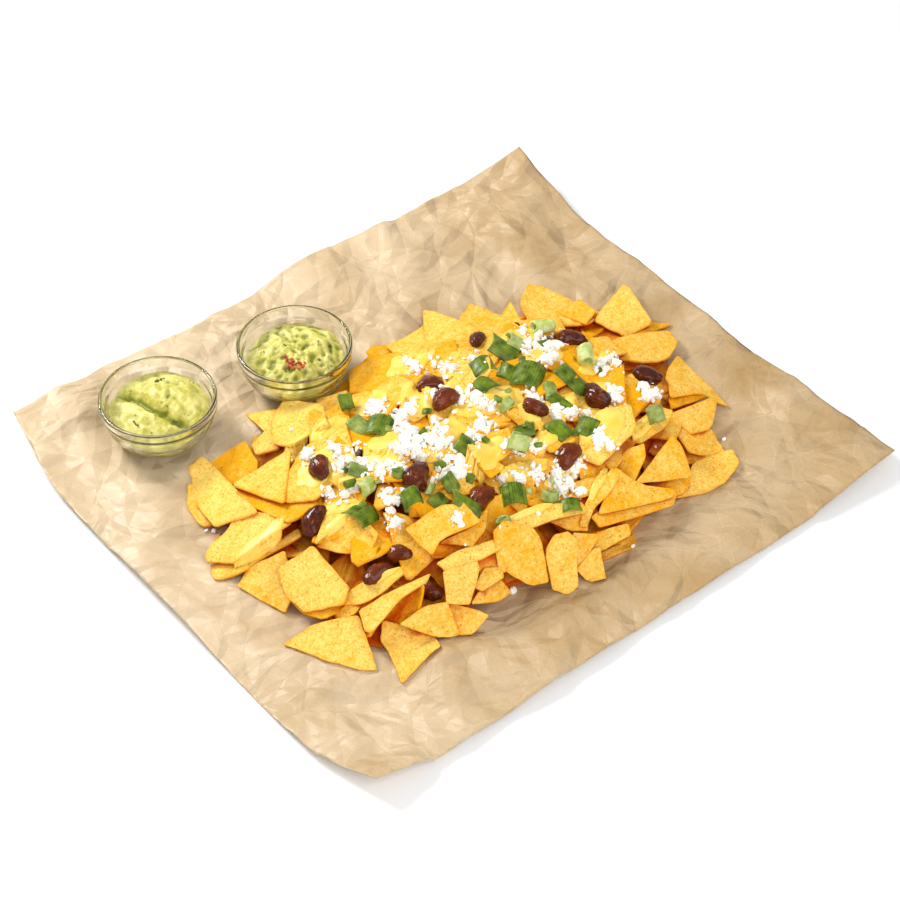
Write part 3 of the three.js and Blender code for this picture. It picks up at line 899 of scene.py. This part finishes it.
def bean_look(w):
    tone = w.attribute("tone")
    cloud = w.grain(7 * MM, 3)
    local = {0: w.attribute("long") * 1.2, 1: w.attribute("wide") * 3, 2: w.attribute("deep") * 3}
    wrinkle = w.grain(0.8, 2, 0.45, place=w.node("ShaderNodeCombineXYZ", None, local))
    split = w.grain(5 * MM, 2).between(0.6, 0.7)
    skin = (cloud * 0.8 + tone * 0.3).between(0.3, 0.9).mix(rgb(62, 15, 0), rgb(126, 50, 2))
    return {
        "Base Color": (split * 0.6).mix(skin, rgb(146, 84, 52)),
        "Roughness": 0.1 + wrinkle * 0.14,
        "Normal": w.bump(wrinkle, 2.2 * MM, 0.9),
    }


wet = {"Specular_IOR_Level": 0.08, "Coat_Weight": 0.45, "Coat_Roughness": 0.04}
bean_finish = finish("kidney_bean", bean_look, **wet)
piece("kidney_beans", beans.mesh("kidney_beans"), bean_finish, bean_nodes)

# %% [markdown]
# ## Spring onion
# The green leaves were cut across into short tubes, and many of them have split open into curved tiles. A
# flat grid with a wall thickness is rolled up, part of the way or all round: radius, sweep, length, heading
# and tip of each. The small cuttings that lie between the large ones are made the same way.

# %% Onion pieces
bm = bmesh.new()
bmesh.ops.create_grid(bm, x_segments=8, y_segments=28, size=0.5)
bmesh.ops.solidify(bm, geom=bm.faces, thickness=1.0)
bmesh.ops.recalc_face_normals(bm, faces=bm.faces)
LEAF_POINTS, LEAF_FACES = template(bm)
LEAF_POINTS[:, 2] -= LEAF_POINTS[:, 2].min()
LEAF_SHAPES = [
    (5, 360, 11, 70, 35), (9, 110, 15, 100, 12), (10, 120, 18, 30, 8), (10, 120, 19, 10, -12),
    (7, 130, 13, 140, 20), (5, 150, 16, 10, -8), (4, 360, 6, 60, 60), (7, 250, 13, 55, 10),
    (5, 360, 12, 80, 20), (6, 170, 21, 135, 14), (8, 150, 15, 60, 18), (5, 360, 5, 100, 55),
    (6, 360, 7, 40, 50), (7, 130, 11, 60, 10), (8, 120, 13, 110, 25), (7, 360, 11, 40, 55),
    (6, 360, 6, 100, 25), (5, 150, 15, 160, 5), (9, 130, 17, 100, 18), (8, 130, 15, 20, 12),
    (9, 130, 21, 120, 30), (8, 140, 15, 70, 15), (10, 150, 21, 30, 10), (4, 170, 13, 60, 8),
    (9, 130, 26, 120, 20), (5, 150, 18, 110, 15), (7, 200, 11, 130, 35), (5, 360, 15, 160, 5),
    (6, 360, 12, 60, 25), (6, 360, 11, 80, 45),
]
PALE = {
    1: 0.35, 4: 0.3, 5: 0.8, 6: 0.3, 8: 0.25, 11: 0.6, 12: 0.5,
    15: 0.7, 16: 0.7, 23: 0.5, 26: 0.6, 27: 1.0, 28: 0.9, 29: 0.5,
}
LEAF_SIZE = 0.88
onions = Joined()


def add_leaf(x, y, radius, sweep, length, heading, tip, pale, seed):
    opened = 1.3 if sweep < 200 else 1.0
    length = LEAF_SIZE * length
    radius = LEAF_SIZE * radius * opened * MM
    sweep = math.radians(sweep / opened)
    _, normal = lie(x, y, 0.4 * length * MM)
    turn = lean(normal, heading) @ Matrix.Rotation(-math.radians(tip), 3, "Y")
    wall = (0.8 + 0.9 * pale) * MM
    points = np.empty_like(LEAF_POINTS)
    for i, (a, b, c) in enumerate(LEAF_POINTS):
        angle = math.pi / 2 + b * sweep
        ripple = 1 + 0.1 * noise.noise(Vector((a * 2, math.cos(angle) * 1.3, seed + math.sin(angle))))
        out = (radius - wall * (1 - c)) * ripple
        slant = a + 0.08 * math.cos(angle * 1.7 + seed)
        points[i] = turn @ Vector((slant * length * MM, out * math.cos(angle), out * math.sin(angle)))
    points += np.array((x, y, 0)) - points.mean(axis=0) * (1, 1, 0)
    marks = {"inner": 1 - LEAF_POINTS[:, 2], "along": LEAF_POINTS[:, 1] * sweep}
    onions.add(settled(points, 5), LEAF_FACES, tone=pale, **marks)


onion_nodes = sorted(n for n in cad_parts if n.startswith("spring_onion_"))
for k, (node, shape) in enumerate(zip(onion_nodes, LEAF_SHAPES)):
    x, y, _ = node_middle(node)
    add_leaf(x, y, *shape, PALE.get(k, random.Random(k).uniform(0, 0.15)), k)

# %% Small cuttings of onion
CUTTINGS = [
    (427, 415), (423, 434), (440, 467), (379, 486), (350, 488), (425, 442), (543, 345), (500, 372),
    (515, 352), (345, 470), (362, 505), (456, 468), (430, 492), (528, 428), (538, 448), (580, 395),
    (600, 372), (486, 442), (498, 400), (552, 482), (470, 480), (412, 478), (530, 492), (561, 402),
    (508, 392), (522, 362), (388, 430),
]
LEAVES = [
    (486, 384, 8, 120, 13, 100, 10), (507, 374, 7, 130, 12, 30, 20), (440, 502, 7, 120, 11, 100, 10),
]
for k, (px, py, *shape) in enumerate(LEAVES):
    spot, _ = land_in_picture(px, py)
    add_leaf(spot.x, spot.y, *shape, 0.1 * (k % 3), 80 + k)
dice = random.Random(9)
for k, (px, py) in enumerate(CUTTINGS):
    spot, _ = land_in_picture(px, py)
    shape = (dice.uniform(2, 4), dice.choice((120, 150, 360)), dice.uniform(3, 8))
    heading, tip = dice.uniform(0, 180), dice.uniform(0, 40)
    add_leaf(spot.x, spot.y, *shape, heading, tip, dice.random() ** 2 * 0.7, 40 + k)


def onion_look(w):
    inner = w.attribute("inner")
    tone = w.attribute("tone")
    rib = w.node("ShaderNodeCombineXYZ", None, {0: w.attribute("along") * 6, 1: tone * 9})
    vein = w.grain(0.5, 2, place=rib)
    cloud = w.grain(6 * MM, 3)
    leaf = (vein * 0.45 + cloud * 0.75).between(0.35, 0.85).mix(rgb(36, 58, 0), rgb(122, 146, 24))
    pale = cloud.between(0.3, 0.7).mix(rgb(166, 190, 72), rgb(228, 232, 168))
    green = (tone * 0.9 + vein * 0.15 - 0.1).between(0, 1).mix(leaf, pale)
    return {
        "Base Color": (inner * 0.45).mix(green, rgb(176, 200, 104)),
        "Roughness": 0.3 + cloud * 0.2,
        "Normal": w.bump(vein, 0.25 * MM, 0.5),
    }


onion_finish = finish("spring_onion", onion_look, Specular_IOR_Level=0.25, Coat_Weight=0.1)
piece("spring_onion", onions.mesh("spring_onion"), onion_finish, onion_nodes)

# %% [markdown]
# ## Feta
# Feta breaks into soft crumbs of all sizes with broken, flat sides. Balls with few faces, fewer the smaller
# the crumb, are pushed in and out and flattened by a few planes. They are scattered where the picture shows
# them: as clusters in patches, each patch a box in the picture, and as strays with a size in millimetres.

# %% Crumbs of feta
FETA_PATCHES = [
    (515, 341, 532, 354), (536, 335, 562, 369), (595, 356, 622, 377), (639, 377, 658, 404),
    (608, 392, 622, 408), (553, 404, 597, 425), (520, 392, 543, 402), (471, 400, 495, 438),
    (448, 389, 486, 404), (440, 429, 452, 445), (440, 454, 467, 480), (503, 440, 520, 454),
    (524, 442, 540, 452), (494, 473, 524, 484), (526, 469, 547, 482), (547, 454, 582, 494),
    (446, 366, 463, 375), (467, 356, 480, 366), (517, 325, 524, 335), (590, 430, 612, 450),
    (453, 517, 465, 528), (302, 450, 325, 463), (329, 444, 364, 465), (337, 463, 371, 477),
    (339, 480, 360, 500), (323, 488, 333, 500), (358, 400, 383, 423), (377, 404, 413, 438),
    (400, 419, 448, 463), (386, 446, 410, 457), (371, 463, 406, 480), (381, 492, 402, 515),
    (434, 461, 452, 484), (390, 519, 402, 532), (404, 352, 420, 372), (425, 362, 445, 372),
    (470, 425, 490, 445), (600, 385, 615, 398), (430, 385, 448, 400),
]
FETA_STRAYS = [
    (513, 592, 6), (206, 531, 3.5), (213, 532, 4), (632, 546, 4), (724, 440, 3.5), (655, 447, 3),
    (292, 430, 3), (520, 333, 5), (465, 545, 2.5), (500, 527, 2.5), (582, 492, 4), (538, 512, 4),
    (598, 450, 4), (350, 460, 7), (404, 416, 10), (392, 412, 8), (412, 430, 8), (478, 428, 7),
    (462, 525, 4), (648, 397, 6), (612, 400, 6), (398, 424, 9),
]


def crumb_template(cuts):
    bm = bmesh.new()
    bmesh.ops.create_icosphere(bm, subdivisions=cuts, radius=1)
    return template(bm)


LEAST_LUMP = 6.4
LEAST_CRUMB = 2.8
CRUMB_SIDES = 8
CRUMB_LIFT = 0.2
CRUMB_LOW = 0.8 * MM
GRAIN, CRUMB, LUMP = crumb_template(1), crumb_template(2), crumb_template(3)
feta = Joined()


def add_crumb(joined, px, py, size, seed):
    dice = np.random.default_rng(seed)
    spot, normal = land_in_picture(px, py)
    points, faces = LUMP if size > LEAST_LUMP else CRUMB if size > LEAST_CRUMB else GRAIN
    rough = [1 + 0.4 * noise.noise(Vector(p) * 1.3 + Vector((seed, 0, 0))) for p in points]
    shaped = points * np.array(rough)[:, None]
    for _ in range(CRUMB_SIDES):
        way = dice.normal(size=3)
        way /= np.linalg.norm(way)
        past = shaped @ way - dice.uniform(0.35, 0.75)
        shaped -= np.maximum(past, 0)[:, None] * way
    shaped *= dice.uniform(0.7, 1.15, 3) * (size * MM / 2)
    turn = np.array(lean(normal, dice.uniform(0, 360)))
    laid = np.array(spot + normal * size * CRUMB_LIFT * MM) + shaped @ turn.T
    laid[:, 2] = np.maximum(laid[:, 2], CRUMB_LOW)
    joined.add(laid, faces)


CLUSTER_AREA = 110
CLUSTER_CRUMBS = 13
CLUSTER_LARGE = 2
dice = random.Random(77)
serial = 0
for left, top, right, bottom in FETA_PATCHES:
    for _ in range(int((right - left) * (bottom - top) / CLUSTER_AREA) + 1):
        middle = dice.uniform(left + 2, right - 2), dice.uniform(top + 2, bottom - 2)
        for k in range(CLUSTER_CRUMBS):
            serial += 1
            large = k < CLUSTER_LARGE
            spread = 1.5 if large else 4.5
            px, py = (dice.gauss(place, spread) for place in middle)
            size = dice.uniform(4.5, 8) if large else 1.2 + 4.2 * dice.random() ** 2
            add_crumb(feta, px, py, size, serial)
for px, py, size in FETA_STRAYS:
    serial += 1
    add_crumb(feta, px, py, size, serial)
print("crumbs of feta:", serial)


def feta_look(w):
    cloud = w.grain(4 * MM, 4)
    pit = w.grain(1.1 * MM, 3, 0.7)
    return {
        "Base Color": cloud.between(0.3, 0.7).mix(rgb(252, 246, 230), rgb(255, 254, 250)),
        "Roughness": 0.55 + pit * 0.2,
        "Normal": w.bump(pit, 0.4 * MM, 0.7),
    }


FETA_GLOW = (1.5 * MM, 1.2 * MM, 0.9 * MM)
feta_finish = finish("feta", feta_look, Subsurface_Weight=0.4, Subsurface_Radius=FETA_GLOW)
piece("feta_crumbs", feta.mesh("feta_crumbs"), feta_finish, smooth=False)

# %% [markdown]
# ## Glass bowls
# The bowls are pressed glass: a straight collar round the mouth, a step under it, and a round body. Their
# profile is spun round the axis, and the glass finish lets light through.

# %% Bowl profile
MOUTH, BOWL_HIGH, WALL, COLLAR, STEP, FLOOR = (v * MM for v in (36.8, 33, 2.4, 7.5, 1.6, 4.5))
STAND = 0.9 * MM


def inside_wall(share):
    flat = FOOT - WALL - 3 * MM
    wide = MOUTH - WALL - STEP - flat
    deep = BOWL_HIGH - COLLAR - FLOOR
    return flat + wide * math.sqrt(1 - (1 - share) ** 2), FLOOR + deep * share


def inside_line(count):
    return [inside_wall(1 - math.cos(math.pi / 2 * k / count)) for k in range(count + 1)]


def spun(profile, middle, steps=96):
    bm = bmesh.new()
    verts = [bm.verts.new((r, 0, z)) for r, z in profile]
    edges = [bm.edges.new(pair) for pair in zip(verts, verts[1:])]
    turn = {"axis": UP, "cent": (0, 0, 0), "angle": 2 * math.pi, "steps": steps, "use_merge": True}
    bmesh.ops.spin(bm, geom=verts + edges, **turn)
    bmesh.ops.remove_doubles(bm, verts=bm.verts, dist=0.001 * MM)
    bmesh.ops.recalc_face_normals(bm, faces=bm.faces)
    bmesh.ops.translate(bm, vec=(*middle, 0), verts=bm.verts)
    return bm


def bowl_profile():
    shoulder = BOWL_HIGH - COLLAR
    inside = inside_line(14)
    outside = [(r + WALL, z - 1.5 * MM) for r, z in inside[3:-1]]
    rim = [(math.cos(a), math.sin(a)) for a in np.linspace(0, math.pi, 9)]
    lip = [(MOUTH - WALL / 2 + c * WALL / 2, BOWL_HIGH - WALL / 2 + s * WALL / 2) for c, s in rim]
    return [
        (0, 0.8 * MM), (FOOT - 5 * MM, 0.8 * MM), (FOOT - 4 * MM, 0.1 * MM),
        (FOOT - 1 * MM, 0), (FOOT, 0.5 * MM),
        *outside,
        (MOUTH - STEP - 0.2 * MM, shoulder - 1.6 * MM), (MOUTH - STEP + 0.5 * MM, shoulder - 0.9 * MM),
        (MOUTH - 0.6 * MM, shoulder - 0.5 * MM), (MOUTH, shoulder + 0.3 * MM),
        *lip,
        (MOUTH - WALL, shoulder + 1.8 * MM), (MOUTH - WALL - 0.4 * MM, shoulder + 0.8 * MM),
        *inside[::-1],
        (0, FLOOR),
    ]


def glass_look(w):
    return {"Roughness": w.grain(30 * MM).between(0.2, 0.8) * 0.015}


CLEAR = (0.97, 0.985, 0.98, 1)
glass_finish = finish("bowl_glass", glass_look, Transmission_Weight=1.0, IOR=1.48, Base_Color=CLEAR)
for name, middle in BOWLS.items():
    bm = spun([(r, z + STAND) for r, z in bowl_profile()], middle)
    piece(f"glass_bowl_{name}_clear", mesh_of(bm), glass_finish, [f"glass_bowl_{name}"])

# %% [markdown]
# ## Guacamole
# The dip is heaped in each bowl, and it is coarse: lumps of avocado, flecks of herb and, in one bowl, bits of
# tomato. Its surface is found first, then the line where that surface meets the glass, and the mesh is drawn
# to fit both. It reaches a little into the glass, so that no air shows between them.

# %% Surface of a dip
DIPS = {
    "left": {
        "level": 15.5, "swell": 9.0, "lean": 5.5, "way": 51,
        "groove": True, "coarse": 0.8, "seed": 5,
    },
    "right": {
        "level": 15.0, "swell": 8.0, "lean": 4.0, "way": 51,
        "groove": False, "coarse": 1.7, "seed": 11,
    },
}


def dip_height(x, y, level, swell, lean, way, groove, coarse, seed):
    reach = MOUTH - WALL
    out = min(1.0, math.hypot(x, y) / reach)
    way = math.radians(way)
    rise = lean * (x * math.cos(way) + y * math.sin(way)) / reach
    here = Vector((x, y, seed * 0.01))
    lumps = 3.4 * noise.noise(here / (13 * MM)) + 3.4 * (0.3 - abs(noise.noise(here / (8 * MM))))
    lumps += 1.6 * (0.3 - abs(noise.noise(here / (4 * MM)))) + 0.6 * noise.noise(here / (1.8 * MM))
    cut = 0
    if groove:
        across = (x * 0.93 + y * 0.36) / MM + 3 * noise.noise(here / (14 * MM))
        cut = 6.0 * math.exp(-(((across + 2) / 3.2) ** 2)) * (1 - out**3)
    return (level + swell * (1 - out**2) ** 0.8 + rise + lumps * coarse * (1 - 0.5 * out) - cut) * MM


def brim_share(turn, dip):
    low, high = 0.02, 1.0
    for _ in range(20):
        share = (low + high) / 2
        radius, z = inside_wall(share)
        above = dip_height(radius * math.cos(turn), radius * math.sin(turn), **dip) > z
        low, high = (share, high) if above else (low, share)
    return low


# %% [markdown]
# In the hollows between lumps the dip is painted a darker green, painted shade where the lumps shut out the
# light, and where it is low the juice stands. Both are marked on the points: a hollow lies lower than the
# mean of a small ring round it.

# %% Hollows and juice
def mark_hollows(mesh, middle, dip):
    ring = [(3 * MM * math.cos(k * math.pi / 3), 3 * MM * math.sin(k * math.pi / 3)) for k in range(6)]
    hollows = []
    juices = []
    for vert in mesh.vertices:
        x, y = vert.co.x - middle[0], vert.co.y - middle[1]
        here = dip_height(x, y, **dip)
        hollows.append((sum(dip_height(x + a, y + b, **dip) for a, b in ring) / 6 - here) / MM)
        juices.append((17 * MM - here) / (3 * MM) * (vert.co.z > 14 * MM) * (not dip["groove"]))
    for name, values in (("hollow_shade", hollows), ("juice", juices)):
        attribute = mesh.attributes.new(name, "FLOAT", "POINT")
        attribute.data.foreach_set("value", np.clip(values, 0, 1).astype(np.float32))


# %% Dips
REACH = 0.4 * MM
RINGS_IN = 44
SIDE_STEPS = 12
dip_nets = {}
dip_meshes = {}
for name, middle in BOWLS.items():
    sides = [(2 + k / SIDE_STEPS, 0) for k in range(SIDE_STEPS + 1)]
    rings = [(1 - k / RINGS_IN, 1) for k in range(1, RINGS_IN)]
    bm = spun([(0, 0), *sides, *rings, (0, 1)], (0, 0), 120)
    for vert in bm.verts:
        turn, out = math.atan2(vert.co.y, vert.co.x), vert.co.xy.length
        share = brim_share(turn, DIPS[name])
        radius, z = inside_wall(share * max(0.0, out - 2)) if out > 1.5 else (0, FLOOR)
        radius, z = radius + REACH * (out > 1.5), z - REACH
        if vert.co.z > 0.5:
            radius = out * (inside_wall(share)[0] + REACH)
            z = dip_height(radius * math.cos(turn), radius * math.sin(turn), **DIPS[name])
        vert.co = (radius * math.cos(turn), radius * math.sin(turn), z + STAND)
    bmesh.ops.translate(bm, vec=(*middle, 0), verts=bm.verts)
    bmesh.ops.recalc_face_normals(bm, faces=bm.faces)
    dip_nets[name] = BVHTree.FromBMesh(bm)
    dip_meshes[name] = mesh_of(bm)
    mark_hollows(dip_meshes[name], middle, DIPS[name])
    top = max(v.co.z for v in dip_meshes[name].vertices)
    print("dip in the", name, "bowl rises to", round(top / MM, 1), "mm")


def dip_look(w):
    cloud = w.grain(7 * MM, 4, 0.6)
    fine = w.grain(1.5 * MM, 4, 0.7)
    fleck = w.cells(3.4 * MM).between(0.26, 0.12) * w.grain(11 * MM, 2).between(0.45, 0.58)
    green = cloud.between(0.3, 0.72).mix(rgb(184, 178, 56), rgb(236, 224, 134))
    green = (fine.between(0.5, 0.72) * 0.5).mix(green, rgb(238, 230, 160))
    # Painted shade: the hollows between lumps turn a darker green.
    green = (w.attribute("hollow_shade") * 0.9).mix(green, rgb(112, 124, 14))
    green = (w.attribute("juice") * 0.8).mix(green, rgb(232, 200, 60))
    return {
        "Base Color": (fleck * 0.8).mix(green, rgb(78, 96, 20)),
        "Roughness": 0.28 + fine * 0.25,
        "Normal": w.bump(fine + cloud, 0.5 * MM, 0.7),
    }


dip_finish = finish("guacamole", dip_look)
for name in BOWLS:
    piece(f"guacamole_{name}_dip", dip_meshes[name], dip_finish, [f"guacamole_{name}"])

# %% [markdown]
# A few bits of tomato and herb lie on the dips. They are made like the crumbs of feta, and each is given by
# its place in the picture, its size in millimetres and whether it is a herb.

# %% Tomato and herbs in the dips
BITS = {
    "left": [
        (156, 382, 2.4, True), (158, 381, 2.8, True), (161, 380, 2.6, True), (164, 379, 1.6, True),
        (134, 422, 2.0, True), (136, 424, 2.6, True), (138, 426, 2.2, True), (174, 421, 2.2, True),
        (177, 422, 2.4, True),
    ],
    "right": [
        (286, 356, 3.6, False), (287, 360, 4.0, False), (290, 362, 4.6, False), (292, 366, 4.2, False),
        (296, 364, 4.0, False), (299, 363, 4.4, False), (303, 366, 3.8, False), (300, 368, 3.4, False),
        (295, 369, 3.2, False), (288, 367, 3.0, False), (293, 360, 3.2, False), (305, 363, 2.4, False),
        (284, 345, 2.0, True), (286, 346, 1.6, True), (318, 342, 2.0, True), (330, 346, 2.4, True),
        (332, 347, 1.8, True), (264, 352, 1.8, True), (320, 360, 2.0, True), (286, 372, 1.8, True),
    ],
}
tomato = Joined()
herbs = Joined()
serial = 900
for name, spots in BITS.items():
    ground = dip_nets[name]
    for px, py, size, herb in spots:
        serial += 1
        add_crumb(herbs if herb else tomato, px, py, size, serial)


def tomato_look(w):
    cloud = w.grain(2 * MM, 3)
    red = cloud.between(0.35, 0.65).mix(rgb(150, 38, 10), rgb(216, 112, 60))
    return {"Base Color": red, "Roughness": 0.2 + cloud * 0.2}


def herb_look(w):
    cloud = w.grain(2 * MM, 3)
    return {"Base Color": cloud.mix(rgb(46, 66, 12), rgb(104, 124, 40)), "Roughness": 0.3 + cloud * 0.2}


piece("tomato_bits", tomato.mesh("tomato_bits"), finish("tomato", tomato_look))
piece("herb_bits", herbs.mesh("herb_bits"), finish("herb", herb_look))

# %% [markdown]
# ## Floor and light
# A pale floor and a broad soft lamp from the upper left of the picture, with a white sky to fill the shade.

# %% Floor, lamp and sky
bm = bmesh.new()
bmesh.ops.create_grid(bm, x_segments=1, y_segments=1, size=3)
floor = bpy.data.objects.new("floor", mesh_of(bm))
floor.location.z = -0.2 * MM
scene.collection.objects.link(floor)


def floor_look(w):
    return {"Base Color": w.grain(0.5).mix(rgb(244, 244, 244), rgb(246, 246, 246))}


floor.data.materials.append(finish("pale_floor", floor_look, Roughness=0.9))


def lamp(name, place, size, power, colour=(1, 1, 1)):
    light = bpy.data.lights.new(name, "AREA")
    light.size = size
    light.energy = power
    light.color = colour
    made = bpy.data.objects.new(name, light)
    made.location = place
    made.rotation_euler = (Vector((0, 0, 0.02)) - place).to_track_quat("-Z", "Y").to_euler()
    scene.collection.objects.link(made)


level_ahead = Vector((FORWARD.x, FORWARD.y, 0)).normalized()
key_place = RIGHT * -0.78 + level_ahead * 0.55 + UP * 0.78
lamp("window", key_place, 0.38, 13.5, (1, 0.98, 0.94))
lamp("fill", RIGHT * 0.5 - level_ahead * 0.9 + UP * 0.8, 1.2, 12)
world = bpy.data.worlds.new("sky")
world.use_nodes = True
world.node_tree.nodes["Background"].inputs["Color"].default_value = (1, 1, 1, 1)
world.node_tree.nodes["Background"].inputs["Strength"].default_value = 0.55
scene.world = world
scene.view_settings.view_transform = "Standard"
